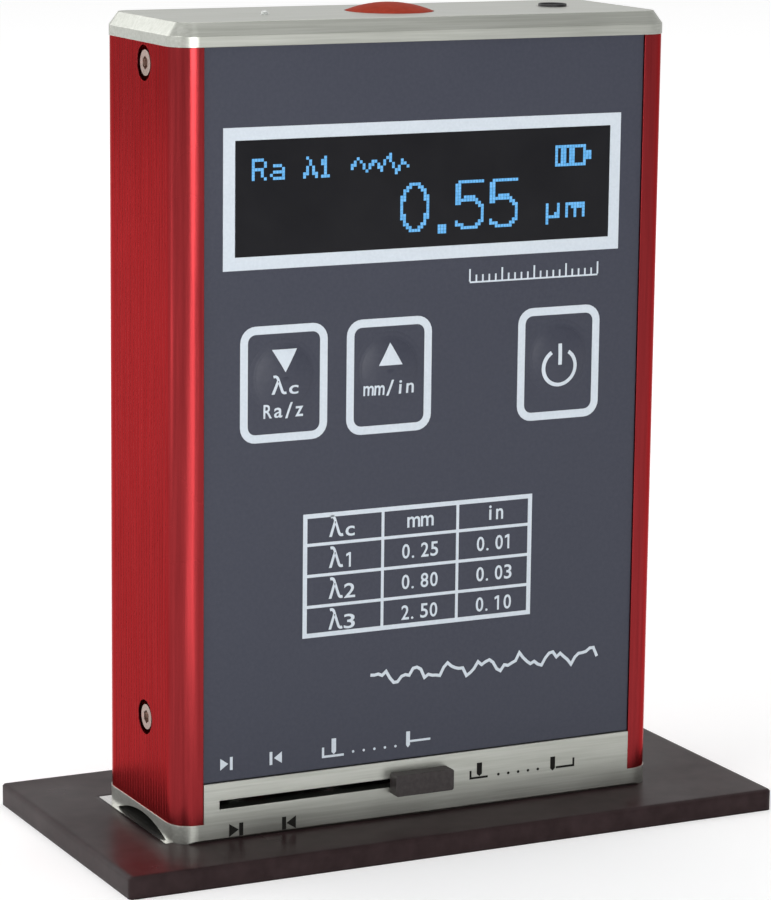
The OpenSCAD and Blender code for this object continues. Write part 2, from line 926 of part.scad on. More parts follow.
module gear_motor() {
    color([0.66, 0.66, 0.6])
        difference() {
            union() {
                block([motor_x, motor_x + gear_l], [drive_y - motor_w / 2, drive_y + motor_w / 2],
                      [drive_z - motor_h / 2, drive_z + motor_h / 2]);
                intersection() {
                    rod_x(drive_y, drive_z, motor_h, motor_x + gear_l - eps, motor_x + motor_l);
                    block([motor_x, motor_x + motor_l], [drive_y - motor_w / 2, drive_y + motor_w / 2],
                          [drive_z - motor_h / 2, drive_z + motor_h / 2]);
                }
            }
            rod_x(drive_y, drive_z, screw_d + 2 * run, motor_x - through, motor_x + screw_in + run);
            for (s = [-1, 1])
                rod_x(drive_y, drive_z + s * motor_screw_z, motor_screw_d + 2 * fit, motor_x - through,
                      motor_x + 2);
        }
}

module motor_screws() {
    color([0.7, 0.7, 0.72])
        for (s = [-1, 1]) {
            rod_x(drive_y, drive_z + s * motor_screw_z, motor_screw_d, chassis_right - eps, motor_x + 2 - run);
            rod_x(drive_y, drive_z + s * motor_screw_z, motor_head_d, chassis_right - motor_head_h,
                  chassis_right);
        }
}

module lead_screw() {
    color([0.72, 0.72, 0.73])
        rod_x(drive_y, drive_z, screw_d, chassis_left - chassis_t, motor_x + screw_in);
}

module screw_bush() {
    color([0.75, 0.6, 0.28])
        difference() {
            rod_x(drive_y, drive_z, bush_d, chassis_left - chassis_t, chassis_left);
            rod_x(drive_y, drive_z, screw_d + 2 * run, chassis_left - chassis_t - through, chassis_left + through);
        }
}

module guide_rods() {
    color([0.78, 0.78, 0.8])
        for (z = rod_z)
            rod_x(rod_y, z, rod_d, chassis_left - chassis_t, chassis_right + chassis_t);
}

module carriage() {
    carriage_x = [nose_x - carriage_half, nose_x + carriage_half];
    color([0.14, 0.14, 0.16])
        difference() {
            block(carriage_x, [carriage_front, carriage_back], [carriage_low, carriage_top]);
            rod_x(drive_y, drive_z, nut_d + 2 * fit, carriage_x[0] - through, carriage_x[1] + through);
            for (z = rod_z)
                rod_x(rod_y, z, rod_d + 2 * run, carriage_x[0] - through, carriage_x[1] + through);
            for (x = post_x)
                post_z(x, post_y, post_d + 2 * run, carriage_low - through, carriage_top + through);
        }
}

module lead_nut() {
    color([0.75, 0.6, 0.28])
        difference() {
            rod_x(drive_y, drive_z, nut_d, nose_x - carriage_half, nose_x + carriage_half);
            rod_x(drive_y, drive_z, screw_d + 2 * run, nose_x - carriage_half - through,
                  nose_x + carriage_half + through);
        }
}

// Pickup

module pickup_holder() {
    color([0.66, 0.67, 0.68])
        difference() {
            union() {
                block([nose_x - holder_half, nose_x + holder_half], [holder_front, holder_back],
                      [holder_low, holder_top]);
                block([nose_x - nose_half, nose_x + nose_half], [-nose_d / 2, nose_d / 2],
                      [nose_low, holder_low + eps]);
            }
            for (x = post_x)
                post_z(x, post_y, post_d + 2 * fit, holder_top - 3, holder_top + through);
        }
}

module pickup_posts() {
    color([0.78, 0.78, 0.8])
        for (x = post_x)
            post_z(x, post_y, post_d, holder_top - 3, post_top);
}

module skid() {
    color([0.6, 0.12, 0.2]) {
        post_z(skid_x, 0, 2 * skid_r, tip_gap + skid_r, nose_low);
        translate([skid_x, 0, tip_gap + skid_r])
            sphere(r = skid_r);
    }
}

module stylus() {
    color([0.9, 0.9, 0.92])
        translate([stylus_x, 0, tip_gap])
            cylinder(r1 = stylus_tip_r, r2 = stylus_r, h = nose_low - tip_gap);
}

sample_plate();
specimen();
on_plate() base();
on_plate() housing();
on_plate() top_cap();
on_plate() side_screws();
on_plate() front_plate();
on_plate() film();
on_plate() display_window();
on_plate() display_gasket();
on_plate() display_glass();
on_plate() display_board();
on_plate() display_header();
on_plate() main_board();
on_plate() board_chips();
on_plate() board_standoffs();
on_plate() board_screws();
on_plate() key_switches();
on_plate() down_key();
on_plate() up_key();
on_plate() power_key();
on_plate() start_button();
on_plate() start_switch();
on_plate() io_board();
on_plate() io_screws();
on_plate() charge_jack();
on_plate() charge_lamp();
on_plate() battery();
on_plate() battery_tape();
on_plate() slide_knob();
on_plate() door();
on_plate() drive_chassis();
on_plate() chassis_screws();
on_plate() gear_motor();
on_plate() motor_screws();
on_plate() lead_screw();
on_plate() screw_bush();
on_plate() guide_rods();
on_plate() carriage();
on_plate() lead_nut();
on_plate() pickup_holder();
on_plate() pickup_posts();
on_plate() skid();
on_plate() stylus();
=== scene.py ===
"""A hand-held surface roughness tester standing on its reference plate.

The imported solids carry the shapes. This script dresses them: a procedural finish for every
node, the printed marks on the front film and on the base, the key legends, the lit dots of the
display and two small turned pieces on the cap. Lengths of pieces are millimetres in the row
frame, turned to metres where meshes are made. Lamps, camera and finishes are in metres.
"""
import json
import math

import bmesh
import bpy
from mathutils import Matrix, Vector


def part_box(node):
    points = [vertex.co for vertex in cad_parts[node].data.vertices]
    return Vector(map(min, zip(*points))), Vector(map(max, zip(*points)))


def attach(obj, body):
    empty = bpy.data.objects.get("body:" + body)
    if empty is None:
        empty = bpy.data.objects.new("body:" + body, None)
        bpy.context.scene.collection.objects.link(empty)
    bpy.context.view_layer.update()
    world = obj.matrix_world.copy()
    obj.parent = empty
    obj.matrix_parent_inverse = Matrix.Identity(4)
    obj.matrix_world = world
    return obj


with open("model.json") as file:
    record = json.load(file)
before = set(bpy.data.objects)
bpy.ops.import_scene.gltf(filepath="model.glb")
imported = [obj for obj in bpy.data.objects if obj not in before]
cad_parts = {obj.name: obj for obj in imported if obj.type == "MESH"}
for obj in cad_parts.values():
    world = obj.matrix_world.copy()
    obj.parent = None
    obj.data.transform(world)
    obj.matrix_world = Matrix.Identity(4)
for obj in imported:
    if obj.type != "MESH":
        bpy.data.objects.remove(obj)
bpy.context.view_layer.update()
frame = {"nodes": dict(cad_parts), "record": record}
scene = bpy.context.scene

MM = 0.001
# Height of the plate that the tester stands on
PLATE = 3.0
# Outer face of the front film, and of the base's apron
FILM_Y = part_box("film")[0].y / MM
APRON_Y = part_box("base")[0].y / MM
# How far a print stands proud of its face, and how far it reaches into it
INK_PROUD = 0.02
INK_SUNK = 0.02
# Points closer than this are joined
WELD = 0.003


# Finishes

# Part of a noise value's range that is spread over the whole of a tone or gloss
NOISE_LOW = 0.3
NOISE_HIGH = 0.7
NOISE_ROUGH = 0.55
# Broad noise that makes gloss uneven
BROAD_GRAIN = 60.0
BROAD_DETAIL = 2.0
BEVEL_SAMPLES = 4
COAT_ROUGH = 0.16
# Scale of a wave texture times its pitch
WAVE_PER_PITCH = 0.314
# Display dots under their own light
UNLIT_COLOUR = (0.02, 0.03, 0.04, 1)
UNLIT_ROUGH = 0.4


def link(tree, source, target):
    """Joins two sockets."""
    tree.links.new(source, target)


def calculate(tree, operation, *values):
    """One step of arithmetic on sockets or plain numbers, as a socket."""
    node = tree.nodes.new("ShaderNodeMath")
    node.operation = operation
    for target, value in zip(node.inputs, values):
        if isinstance(value, bpy.types.NodeSocket):
            link(tree, value, target)
        else:
            target.default_value = value
    return node.outputs["Value"]


def blank_material(name):
    """A material with a plain principled shader, its node tree and that shader."""
    material = bpy.data.materials.new(name)
    material.use_nodes = True
    tree = material.node_tree
    shader = tree.nodes["Principled BSDF"]
    return material, tree, shader


def noise(tree, scale, stretch=(1, 1, 1), detail=4.0):
    """Noise in the row frame. A direction stretched less gives longer streaks."""
    coords = tree.nodes.new("ShaderNodeTexCoord")
    mapping = tree.nodes.new("ShaderNodeMapping")
    mapping.inputs["Scale"].default_value = stretch
    texture = tree.nodes.new("ShaderNodeTexNoise")
    texture.inputs["Scale"].default_value = scale
    texture.inputs["Detail"].default_value = detail
    texture.inputs["Roughness"].default_value = NOISE_ROUGH
    link(tree, coords.outputs["Object"], mapping.inputs["Vector"])
    link(tree, mapping.outputs["Vector"], texture.inputs["Vector"])
    return texture.outputs["Fac"]


def spread(tree, value, low, high, start=NOISE_LOW, end=NOISE_HIGH):
    """Takes a value from one range to another."""
    node = tree.nodes.new("ShaderNodeMapRange")
    node.inputs["From Min"].default_value = start
    node.inputs["From Max"].default_value = end
    node.inputs["To Min"].default_value = low
    node.inputs["To Max"].default_value = high
    link(tree, value, node.inputs["Value"])
    return node.outputs["Result"]


def two_tone(tree, value, dark, light):
    """Colour between two tones by a noise value."""
    ramp = tree.nodes.new("ShaderNodeValToRGB")
    ramp.color_ramp.elements[0].position = NOISE_LOW
    ramp.color_ramp.elements[1].position = NOISE_HIGH
    ramp.color_ramp.elements[0].color = (*dark, 1)
    ramp.color_ramp.elements[1].color = (*light, 1)
    link(tree, value, ramp.inputs["Fac"])
    return ramp.outputs["Color"]


def relief(tree, shader, height, strength, depth, edge=0.0):
    """Fine relief, with an edge softened by a small radius where one is given."""
    bump = tree.nodes.new("ShaderNodeBump")
    bump.inputs["Strength"].default_value = strength
    bump.inputs["Distance"].default_value = depth
    link(tree, height, bump.inputs["Height"])
    if edge > 0:
        bevel = tree.nodes.new("ShaderNodeBevel")
        bevel.samples = BEVEL_SAMPLES
        bevel.inputs["Radius"].default_value = edge
        link(tree, bevel.outputs["Normal"], bump.inputs["Normal"])
    link(tree, bump.outputs["Normal"], shader.inputs["Normal"])


def finish(name, dark, light, rough, swing, metal=0.0, grain=1500.0, stretch=(1, 1, 1), strength=0.15,
           depth=0.00004, edge=0.0, coat=0.0, specular=0.5, tint=(1, 1, 1)):
    """A finish with mottled colour, uneven gloss and fine relief."""
    material, tree, shader = blank_material(name)
    fine = noise(tree, grain, stretch)
    broad = noise(tree, BROAD_GRAIN, detail=BROAD_DETAIL)
    link(tree, two_tone(tree, fine, dark, light), shader.inputs["Base Color"])
    link(tree, spread(tree, broad, rough - swing, rough + swing), shader.inputs["Roughness"])
    shader.inputs["Metallic"].default_value = metal
    shader.inputs["Coat Weight"].default_value = coat
    shader.inputs["Coat Roughness"].default_value = COAT_ROUGH
    shader.inputs["Specular IOR Level"].default_value = specular
    shader.inputs["Specular Tint"].default_value = (*tint, 1)
    relief(tree, shader, fine, strength, depth, edge)
    return material


def threaded(name, dark, light, pitch, depth):
    """Steel with a fine thread along X."""
    material, tree, shader = blank_material(name)
    fine = noise(tree, scale=900.0)
    coords = tree.nodes.new("ShaderNodeTexCoord")
    wave = tree.nodes.new("ShaderNodeTexWave")
    wave.bands_direction = "X"
    wave.inputs["Scale"].default_value = WAVE_PER_PITCH / pitch
    wave.inputs["Distortion"].default_value = 0.0
    link(tree, coords.outputs["Object"], wave.inputs["Vector"])
    link(tree, two_tone(tree, fine, dark, light), shader.inputs["Base Color"])
    link(tree, spread(tree, fine, low=0.22, high=0.34), shader.inputs["Roughness"])
    shader.inputs["Metallic"].default_value = 1.0
    relief(tree, shader, wave.outputs["Fac"], strength=0.8, depth=depth)
    return material


def printed(name, dark, light):
    """Screen-printed ink: a little uneven in tone, with the film's own grain."""
    return finish(name, dark, light, rough=0.55, swing=0.06, grain=2600.0, strength=0.1, specular=0.1)


def glowing(name, dim, bright):
    """Display dots that give light, each a little different from the next."""
    material, tree, shader = blank_material(name)
    flicker = noise(tree, scale=1700.0, detail=1.0)
    link(tree, two_tone(tree, flicker, dim, bright), shader.inputs["Emission Color"])
    shader.inputs["Base Color"].default_value = UNLIT_COLOUR
    shader.inputs["Emission Strength"].default_value = 1.0
    shader.inputs["Roughness"].default_value = UNLIT_ROUGH
    return material


# Directions of brushing
UPRIGHT = (40, 40, 1)
ACROSS = (1, 40, 40)
ALONG_DEPTH = (40, 1, 40)
# One finish for each slot of the record: dark tone, light tone, roughness and its swing, and then
# what sets the finish apart
FINISHES = {
    "red_anodised": finish("red_anodised", (0.205, 0.0185, 0.0210), (0.275, 0.0250, 0.0282), 0.24, 0.04,
                           metal=1.0, grain=60.0, stretch=UPRIGHT, strength=0.12, depth=0.00006,
                           edge=0.00015, tint=(1.0, 0.46, 0.46)),
    "silver": finish("silver", (0.40, 0.41, 0.37), (0.50, 0.51, 0.47), 0.36, 0.05, metal=1.0,
                     grain=70.0, stretch=ACROSS, strength=0.10, depth=0.00005, edge=0.00015),
    "plate_dark": finish("plate_dark", (0.022, 0.0125, 0.0130), (0.036, 0.022, 0.023), 0.33, 0.06,
                         grain=420.0, strength=0.06, edge=0.0011, specular=0.085),
    "specimen_steel": finish("specimen_steel", (0.58, 0.565, 0.55), (0.84, 0.825, 0.81), 0.24, 0.05, metal=1.0,
                             grain=50.0, stretch=ALONG_DEPTH, strength=0.3, depth=0.00005),
    "film_grey": finish("film_grey", (0.036, 0.040, 0.059), (0.044, 0.047, 0.067), 0.36, 0.06,
                        grain=2200.0, strength=0.10, specular=0.30),
    "inner_plastic": finish("inner_plastic", (0.030, 0.030, 0.032), (0.050, 0.050, 0.053), 0.55, 0.05),
    "window_dark": finish("window_dark", (0.006, 0.006, 0.008), (0.010, 0.010, 0.012), 0.10, 0.04,
                          grain=120.0, strength=0.02, specular=0.14),
    "gasket_foam": finish("gasket_foam", (0.010, 0.010, 0.011), (0.030, 0.030, 0.031), 0.9, 0.04,
                          grain=2400.0, strength=0.6, depth=0.0001),
    "display_glass": finish("display_glass", (0.006, 0.006, 0.008), (0.011, 0.011, 0.014), 0.20, 0.04,
                            specular=0.1),
    "board_green": finish("board_green", (0.010, 0.075, 0.030), (0.020, 0.130, 0.050), 0.35, 0.08,
                          grain=700.0, strength=0.25, coat=0.3),
    "black_plastic": finish("black_plastic", (0.014, 0.014, 0.015), (0.028, 0.028, 0.030), 0.48, 0.06,
                            grain=1800.0, strength=0.2),
    "steel": finish("steel", (0.46, 0.46, 0.47), (0.62, 0.62, 0.63), 0.26, 0.05, metal=1.0,
                    grain=900.0, strength=0.08, edge=0.0001),
    "brass": finish("brass", (0.48, 0.33, 0.11), (0.66, 0.47, 0.18), 0.30, 0.06, metal=1.0, grain=900.0),
    "button_orange": finish("button_orange", (0.27, 0.028, 0.012), (0.34, 0.038, 0.017), 0.50, 0.05,
                            grain=1200.0, strength=0.08, specular=0.02),
    "lamp_clear": finish("lamp_clear", (0.52, 0.54, 0.52), (0.68, 0.70, 0.68), 0.12, 0.04, grain=800.0,
                         strength=0.05, coat=0.5),
    "battery_foil": finish("battery_foil", (0.40, 0.41, 0.43), (0.60, 0.61, 0.63), 0.38, 0.08, metal=1.0,
                           grain=260.0, strength=0.3),
    "tape": finish("tape", (0.42, 0.33, 0.12), (0.56, 0.45, 0.19), 0.50, 0.06, grain=1200.0),
    "knob_grey": finish("knob_grey", (0.034, 0.029, 0.029), (0.052, 0.045, 0.045), 0.42, 0.06,
                        grain=1500.0, strength=0.25, edge=0.00012, specular=0.2),
    "chassis_metal": finish("chassis_metal", (0.40, 0.41, 0.42), (0.56, 0.57, 0.58), 0.36, 0.06, metal=1.0,
                            grain=80.0, stretch=ACROSS, strength=0.15),
    "ruby": finish("ruby", (0.34, 0.004, 0.020), (0.46, 0.010, 0.034), 0.08, 0.03, grain=900.0, coat=0.6),
}
THREAD = threaded("screw_thread", (0.38, 0.38, 0.39), (0.52, 0.52, 0.53), pitch=0.001, depth=0.0002)
# Steel screw heads tinted pink-brown: a painted reflection of the red housing round them
SCREW_RED_REFLECTION = finish("screw_painted_red_reflection", (0.31, 0.23, 0.20), (0.44, 0.33, 0.29), 0.36, 0.06, metal=1.0, grain=900.0)
NICKEL = finish("nickel_barrel", (0.30, 0.29, 0.27), (0.40, 0.39, 0.37), 0.34, 0.05, metal=1.0, grain=900.0)
WHITE_INK = printed("white_ink", (0.565, 0.622, 0.68), (0.615, 0.672, 0.73))
BLACK_INK = printed("black_ink", (0.006, 0.006, 0.005), (0.011, 0.010, 0.009))
LIT_DOTS = glowing("lit_dots", (0.07, 0.37, 0.76), (0.14, 0.49, 0.92))

for subpart in frame["record"]["subparts"]:
    cad_node = frame["nodes"][subpart["node"]]
    cad_node.data.materials.clear()
    cad_node.data.materials.append(FINISHES[subpart["material_slot"]])
frame["nodes"]["lead_screw"].data.materials[0] = THREAD
frame["nodes"]["charge_jack"].data.materials[0] = NICKEL
# The side screws take the steel with the painted reflection of the red housing
frame["nodes"]["side_screws"].data.materials[0] = SCREW_RED_REFLECTION


# Flat shapes for print, as lists of outlines in (x, z) millimetres

# Least share of a corner's reach, so that sharp corners stay short
MITRE_LIMIT = 0.35
SPOT_SIDES = 24
LETTER_CURVE_STEPS = 4


def offset_path(path, distance, closed):
    """Points at a distance to the left of a path, with mitred corners."""
    count = len(path)
    made = []
    for i, point in enumerate(path):
        here = Vector(point)
        before = Vector(path[i - 1]) if closed or i > 0 else None
        after = Vector(path[(i + 1) % count]) if closed or i < count - 1 else None
        into = (here - before).normalized() if before is not None else (after - here).normalized()
        out = (after - here).normalized() if after is not None else into
        side = Vector((-into.y - out.y, into.x + out.x)).normalized()
        reach = distance / max(MITRE_LIMIT, side.dot(Vector((-into.y, into.x))))
        made.append(tuple(here + side * reach))
    return made


def band(path, width, closed=False):
    """A line of a given width along a path, as quads."""
    left = offset_path(path, width / 2, closed)
    right = offset_path(path, -width / 2, closed)
    steps = len(path) if closed else len(path) - 1
    quads = []
    for i in range(steps):
        j = (i + 1) % len(path)
        quads.append([right[i], right[j], left[j], left[i]])
    return quads


def rectangle(x0, x1, z0, z1):
    """Corners of a rectangle."""
    return [(x0, z0), (x1, z0), (x1, z1), (x0, z1)]


def arc(x, z, radius, start, end, steps):
    """Points on an arc, angles in degrees."""
    made = []
    for i in range(steps + 1):
        a = math.radians(start + (end - start) * i / steps)
        made.append((x + radius * math.cos(a), z + radius * math.sin(a)))
    return made


def rounded(x, z, w, h, r, steps=6):
    """Outline of a rounded rectangle about a centre."""
    made = []
    for cx, cz, start in ((1, -1, -90), (1, 1, 0), (-1, 1, 90), (-1, -1, 180)):
        made += arc(x + cx * (w / 2 - r), z + cz * (h / 2 - r), r, start, start + 90, steps)
    return made


def spot(x, z, radius):
    """A round dot."""
    last = 360 - 360 / SPOT_SIDES
    return [arc(x, z, radius, 0, last, SPOT_SIDES - 1)]


def words(text, x0, x1, z0, z1, weight):
    """Numbers or unit signs drawn with Blender's own font, fitted to a box, as flat faces."""
    curve = bpy.data.curves.new("words", "FONT")
    curve.body = text
    curve.offset = weight
    curve.resolution_u = LETTER_CURVE_STEPS
    holder = bpy.data.objects.new("words", curve)
    scene.collection.objects.link(holder)
    bpy.context.view_layer.update()
    evaluated = holder.evaluated_get(bpy.context.evaluated_depsgraph_get())
    mesh = bpy.data.meshes.new_from_object(evaluated)
    xs = [v.co.x for v in mesh.vertices]
    ys = [v.co.y for v in mesh.vertices]
    wide = (x1 - x0) / (max(xs) - min(xs))
    tall = (z1 - z0) / (max(ys) - min(ys))
    made = []
    for face in mesh.polygons:
        corners = [mesh.vertices[i].co for i in face.vertices]
        made.append([(x0 + (c.x - min(xs)) * wide, z0 + (c.y - min(ys)) * tall) for c in corners])
    bpy.data.objects.remove(holder)
    bpy.data.curves.remove(curve)
    bpy.data.meshes.remove(mesh)
    return made


# Width of a letter as a part of its cell, and its lowest and highest reach as parts of a digit's height
LETTER_SHAPES = {
    ".": (0.24, 0.0, 0.17),
    "/": (0.66, -0.08, 1.08),
    "i": (0.26, 0.0, 1.0),
    "m": (0.94, 0.0, 0.74),
    "n": (0.76, 0.0, 0.74),
    "a": (0.78, 0.0, 0.74),
    "c": (0.66, 0.0, 0.68),
    "z": (0.74, 0.0, 0.74),
    "λ": (1.02, -0.14, 1.34),
}
DIGIT_SHAPE = (0.80, 0.0, 1.0)
# How much the font's strokes are thickened
LETTER_WEIGHT = 0.011
# A point stands this part of a cell further back, and a suffix this part of a digit lower
POINT_BACK = 0.25
SUFFIX_DROP = 0.17
# Figure one: width of its stem and length of its flag as parts of its height
ONE_WIDE = 0.14
FLAG_LONG = 0.2
# Levels of the flag below the top, as parts of its length: tip above, tip below, root below
FLAG_LEVELS = (0.5, 1.3, 0.9)


def figure_one(x, low, tall):
    """A plain figure one: a stem with a short flag."""
    left = x - tall * ONE_WIDE / 2
    right = x + tall * ONE_WIDE / 2
    top = low + tall
    flag = tall * FLAG_LONG
    tip = left - flag
    tip_above, tip_below, root_below = [top - flag * level for level in FLAG_LEVELS]
    return [[(left, low), (right, low), (right, top), (left, top), (tip, tip_above), (tip, tip_below),
             (left, root_below)]]


def even_words(text, middle_x, low, pitch, tall):
    """Letters of even pitch about a middle, standing on a line; a suffix stands a little lower."""
    made = []
    for i, letter in enumerate(text):
        part, down, up = LETTER_SHAPES.get(letter, DIGIT_SHAPE)
        x = middle_x + pitch * (i + 0.5 - len(text) / 2)
        half = pitch * part / 2
        foot = low
        if letter == ".":
            x -= pitch * POINT_BACK
        if i > 0 and text[0] == "λ":
            foot -= tall * SUFFIX_DROP
        if letter == "1":
            made += figure_one(x, foot, tall)
        else:
            made += words(letter, x - half, x + half, foot + tall * down, foot + tall * up, LETTER_WEIGHT)
    return made


# Making pieces from the flat shapes

def flat_face(y):
    """The face that a print lies on where it is flat."""
    return lambda x, z: y


def flat_mesh(outlines):
    """A bmesh of flat outlines on the plane y = 0, joined where they meet."""
    mesh = bmesh.new()
    for outline in outlines:
        corners = [mesh.verts.new((x, 0, z)) for x, z in outline]
        mesh.faces.new(corners)
    bmesh.ops.remove_doubles(mesh, verts=mesh.verts, dist=WELD)
    return mesh


def cut_up(outlines, size):
    """The same shapes cut into small pieces, so that they can follow a curved face."""
    mesh = flat_mesh(outlines)
    for axis, normal in ((0, Vector((1, 0, 0))), (2, Vector((0, 0, 1)))):
        low = min(v.co[axis] for v in mesh.verts)
        high = max(v.co[axis] for v in mesh.verts)
        for i in range(1, int((high - low) / size) + 1):
            geometry = mesh.verts[:] + mesh.edges[:] + mesh.faces[:]
            bmesh.ops.bisect_plane(mesh, geom=geometry, plane_co=normal * (low + i * size), plane_no=normal)
    made = [[(v.co.x, v.co.z) for v in face.verts] for face in mesh.faces]
    mesh.free()
    return made


def add_piece(name, mesh, material, body):
    """Makes a piece of a bmesh in millimetres, with its material, on its body."""
    bmesh.ops.recalc_face_normals(mesh, faces=mesh.faces)
    bmesh.ops.scale(mesh, vec=(MM, MM, MM), verts=mesh.verts)
    data = bpy.data.meshes.new(name)
    mesh.to_mesh(data)
    mesh.free()
    data.materials.append(material)
    piece = bpy.data.objects.new(name, data)
    scene.collection.objects.link(piece)
    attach(piece, body)


def lift(outlines):
    """Moves outlines from heights above the tester's feet to the row frame."""
    return [[(x, z + PLATE) for x, z in outline] for outline in outlines]


def print_piece(name, outlines, face, material, body, proud=INK_PROUD, sunk=INK_SUNK):
    """A thin printed layer on a face, from outlines in heights above the tester's feet."""
    mesh = flat_mesh(lift(outlines))
    for flat in mesh.faces:
        flat.normal_update()
        if flat.normal.y > 0:
            flat.normal_flip()
    walls = bmesh.ops.extrude_face_region(mesh, geom=mesh.faces[:], use_keep_orig=True)
    raised = {part for part in walls["geom"] if isinstance(part, bmesh.types.BMVert)}
    for vert in mesh.verts:
        level = -proud if vert in raised else sunk
        vert.co.y = face(vert.co.x, vert.co.z) + level
    add_piece(name, mesh, material, body)


def film_print(name, outlines):
    """White print on the flat film."""
    print_piece(name, outlines, flat_face(FILM_Y), WHITE_INK, "tester")


# White frame round the display: left, right, low and high sides

FRAME_OUTER = (-29.69, 29.14, 76.41, 94.98)
FRAME_INNER = (-28.0, 27.53, 78.14, 93.30)


def ring_quads(outer, inner):
    """Four mitred sides between two rectangles."""
    a = rectangle(*outer)
    b = rectangle(*inner)
    return [[a[i], a[(i + 1) % 4], b[(i + 1) % 4], b[i]] for i in range(4)]


film_print("display_frame_print", ring_quads(FRAME_OUTER, FRAME_INNER))


# Keys: outlines on the film, legends on the domes

# Sideways places of the keys, then the middle, size and line of their outlines
KEY_X = {"down_key": -20.9, "up_key": -5.5, "power_key": 20.2}
KEY_Z = 61.2
KEY_W = 12.6
KEY_H = 15.5
KEY_LINE = 1.1
KEY_CORNER = 2.2
# The domes: middle, rise above the film, and radius of the ball that they are part of
DOME_Z = 62.1
DOME_RISE = 0.5
DOME_BALL = 20.5

outlines = []
for key_x in KEY_X.values():
    path = rounded(key_x, KEY_Z, KEY_W - KEY_LINE, KEY_H - KEY_LINE, KEY_CORNER - KEY_LINE / 2)
    outlines += band(path, KEY_LINE, closed=True)
film_print("key_outline_print", outlines)

# Arrows: half width, level of the back and level of the tip
KEY_ARROWS = {"down_key": (1.8, 65.75, 62.75), "up_key": (1.75, 62.65, 65.65)}
# Signs: text, shift from the key's middle, foot, pitch and height of a digit
KEY_SIGNS = {
    "down_key": (("λc", 0.2, 60.05, 2.1, 1.75), ("Ra/z", -0.05, 56.65, 1.52, 1.85)),
    "up_key": (("mm/in", 0.0, 58.65, 1.54, 1.85),),
}
# Power sign: its ring's middle, radius, angles of its ends, steps and line, and its bar's half width and ends
POWER_Z = 60.65
POWER_RADIUS = 2.45
POWER_ARC = (122, 418)
POWER_STEPS = 48
POWER_LINE = 0.52
POWER_BAR_HALF = 0.27
POWER_BAR_ENDS = (61.0, 63.9)


def key_legend(key):
    """Outlines of a key's arrow and signs, or of the power sign."""
    x = KEY_X[key]
    if key == "power_key":
        ring = band(arc(x, POWER_Z, POWER_RADIUS, *POWER_ARC, POWER_STEPS), POWER_LINE)
        return ring + [rectangle(x - POWER_BAR_HALF, x + POWER_BAR_HALF, *POWER_BAR_ENDS)]
    half, back, tip = KEY_ARROWS[key]
    made = [[(x - half, back), (x, tip), (x + half, back)]]
    for sign, shift, foot, pitch, tall in KEY_SIGNS[key]:
        made += even_words(sign, x + shift, foot, pitch, tall)
    return made


def key_face(x0):
    """The embossed film over a key: its dome, running out level into the flat film."""
    crown = FILM_Y - DOME_RISE

    def height(x, z):
        away = math.hypot(x - x0, z - DOME_Z - PLATE)
        ball = crown + DOME_BALL - math.sqrt(max(0.0, DOME_BALL ** 2 - away ** 2))
        return min(FILM_Y, ball) - skirt_rise(away)

    return height


# The embossed edge round a dome: radii, rings, sides, and how far it stands off the dome or the film
SKIRT_IN = 4.1
SKIRT_OUT = 5.1
SKIRT_STEPS = 6
SKIRT_SIDES = 64
SKIRT_RISE = 0.03
SKIRT_PROUD = 0.012


def skirt_rise(away):
    """Height of the embossed edge above the dome or the film at a distance from the key's middle."""
    if away <= SKIRT_IN or away >= SKIRT_OUT:
        return 0.0
    return SKIRT_RISE * math.sin(math.pi * (away - SKIRT_IN) / (SKIRT_OUT - SKIRT_IN))


# Size of the bits that a legend is cut into, and how far it stands proud
LEGEND_CUT = 0.5
LEGEND_PROUD = 0.03
for key, key_x in KEY_X.items():
    on_dome = []
    on_rim = []
    for bit in cut_up(key_legend(key), LEGEND_CUT):
        middle_x = sum(x for x, z in bit) / len(bit)
        middle_z = sum(z for x, z in bit) / len(bit)
        if math.hypot(middle_x - key_x, middle_z - DOME_Z) < SKIRT_IN:
            on_dome.append(bit)
        else:
            on_rim.append(bit)
    print_piece(key + "_legend", on_dome, key_face(key_x), WHITE_INK, key, LEGEND_PROUD)
    if on_rim:
        print_piece(key + "_legend_rim", on_rim, key_face(key_x), WHITE_INK, "tester",
                    LEGEND_PROUD, sunk=0.0)

# The film's soft edge that closes the ring round each dome
for key, key_x in KEY_X.items():
    radii = [SKIRT_IN + (SKIRT_OUT - SKIRT_IN) * i / SKIRT_STEPS for i in range(SKIRT_STEPS + 1)]
    rings = []
    for inner_radius, outer_radius in zip(radii, radii[1:]):
        inside = arc(key_x, DOME_Z, inner_radius, 0, 360, SKIRT_SIDES)
        outside = arc(key_x, DOME_Z, outer_radius, 0, 360, SKIRT_SIDES)
        for i in range(SKIRT_SIDES):
            rings.append([inside[i], outside[i], outside[i + 1], inside[i + 1]])
    print_piece(key + "_skirt", rings, key_face(key_x), FINISHES["film_grey"], "tester",
                SKIRT_PROUD, sunk=0.0)


# Table of cutoff lengths: its sides, lines, the places of its upright lines, and its texts

TABLE = (-17.98, 16.54, 26.39, 43.31)
TABLE_OUTER = 0.62
TABLE_INNER = 0.42
COLUMN_PARTS = (0.342, 0.669)
ROW_COUNT = 4
TABLE_ROWS = (("λc", "mm", "in"), ("λ1", "0.25", "0.01"), ("λ2", "0.80", "0.03"), ("λ3", "2.50", "0.10"))

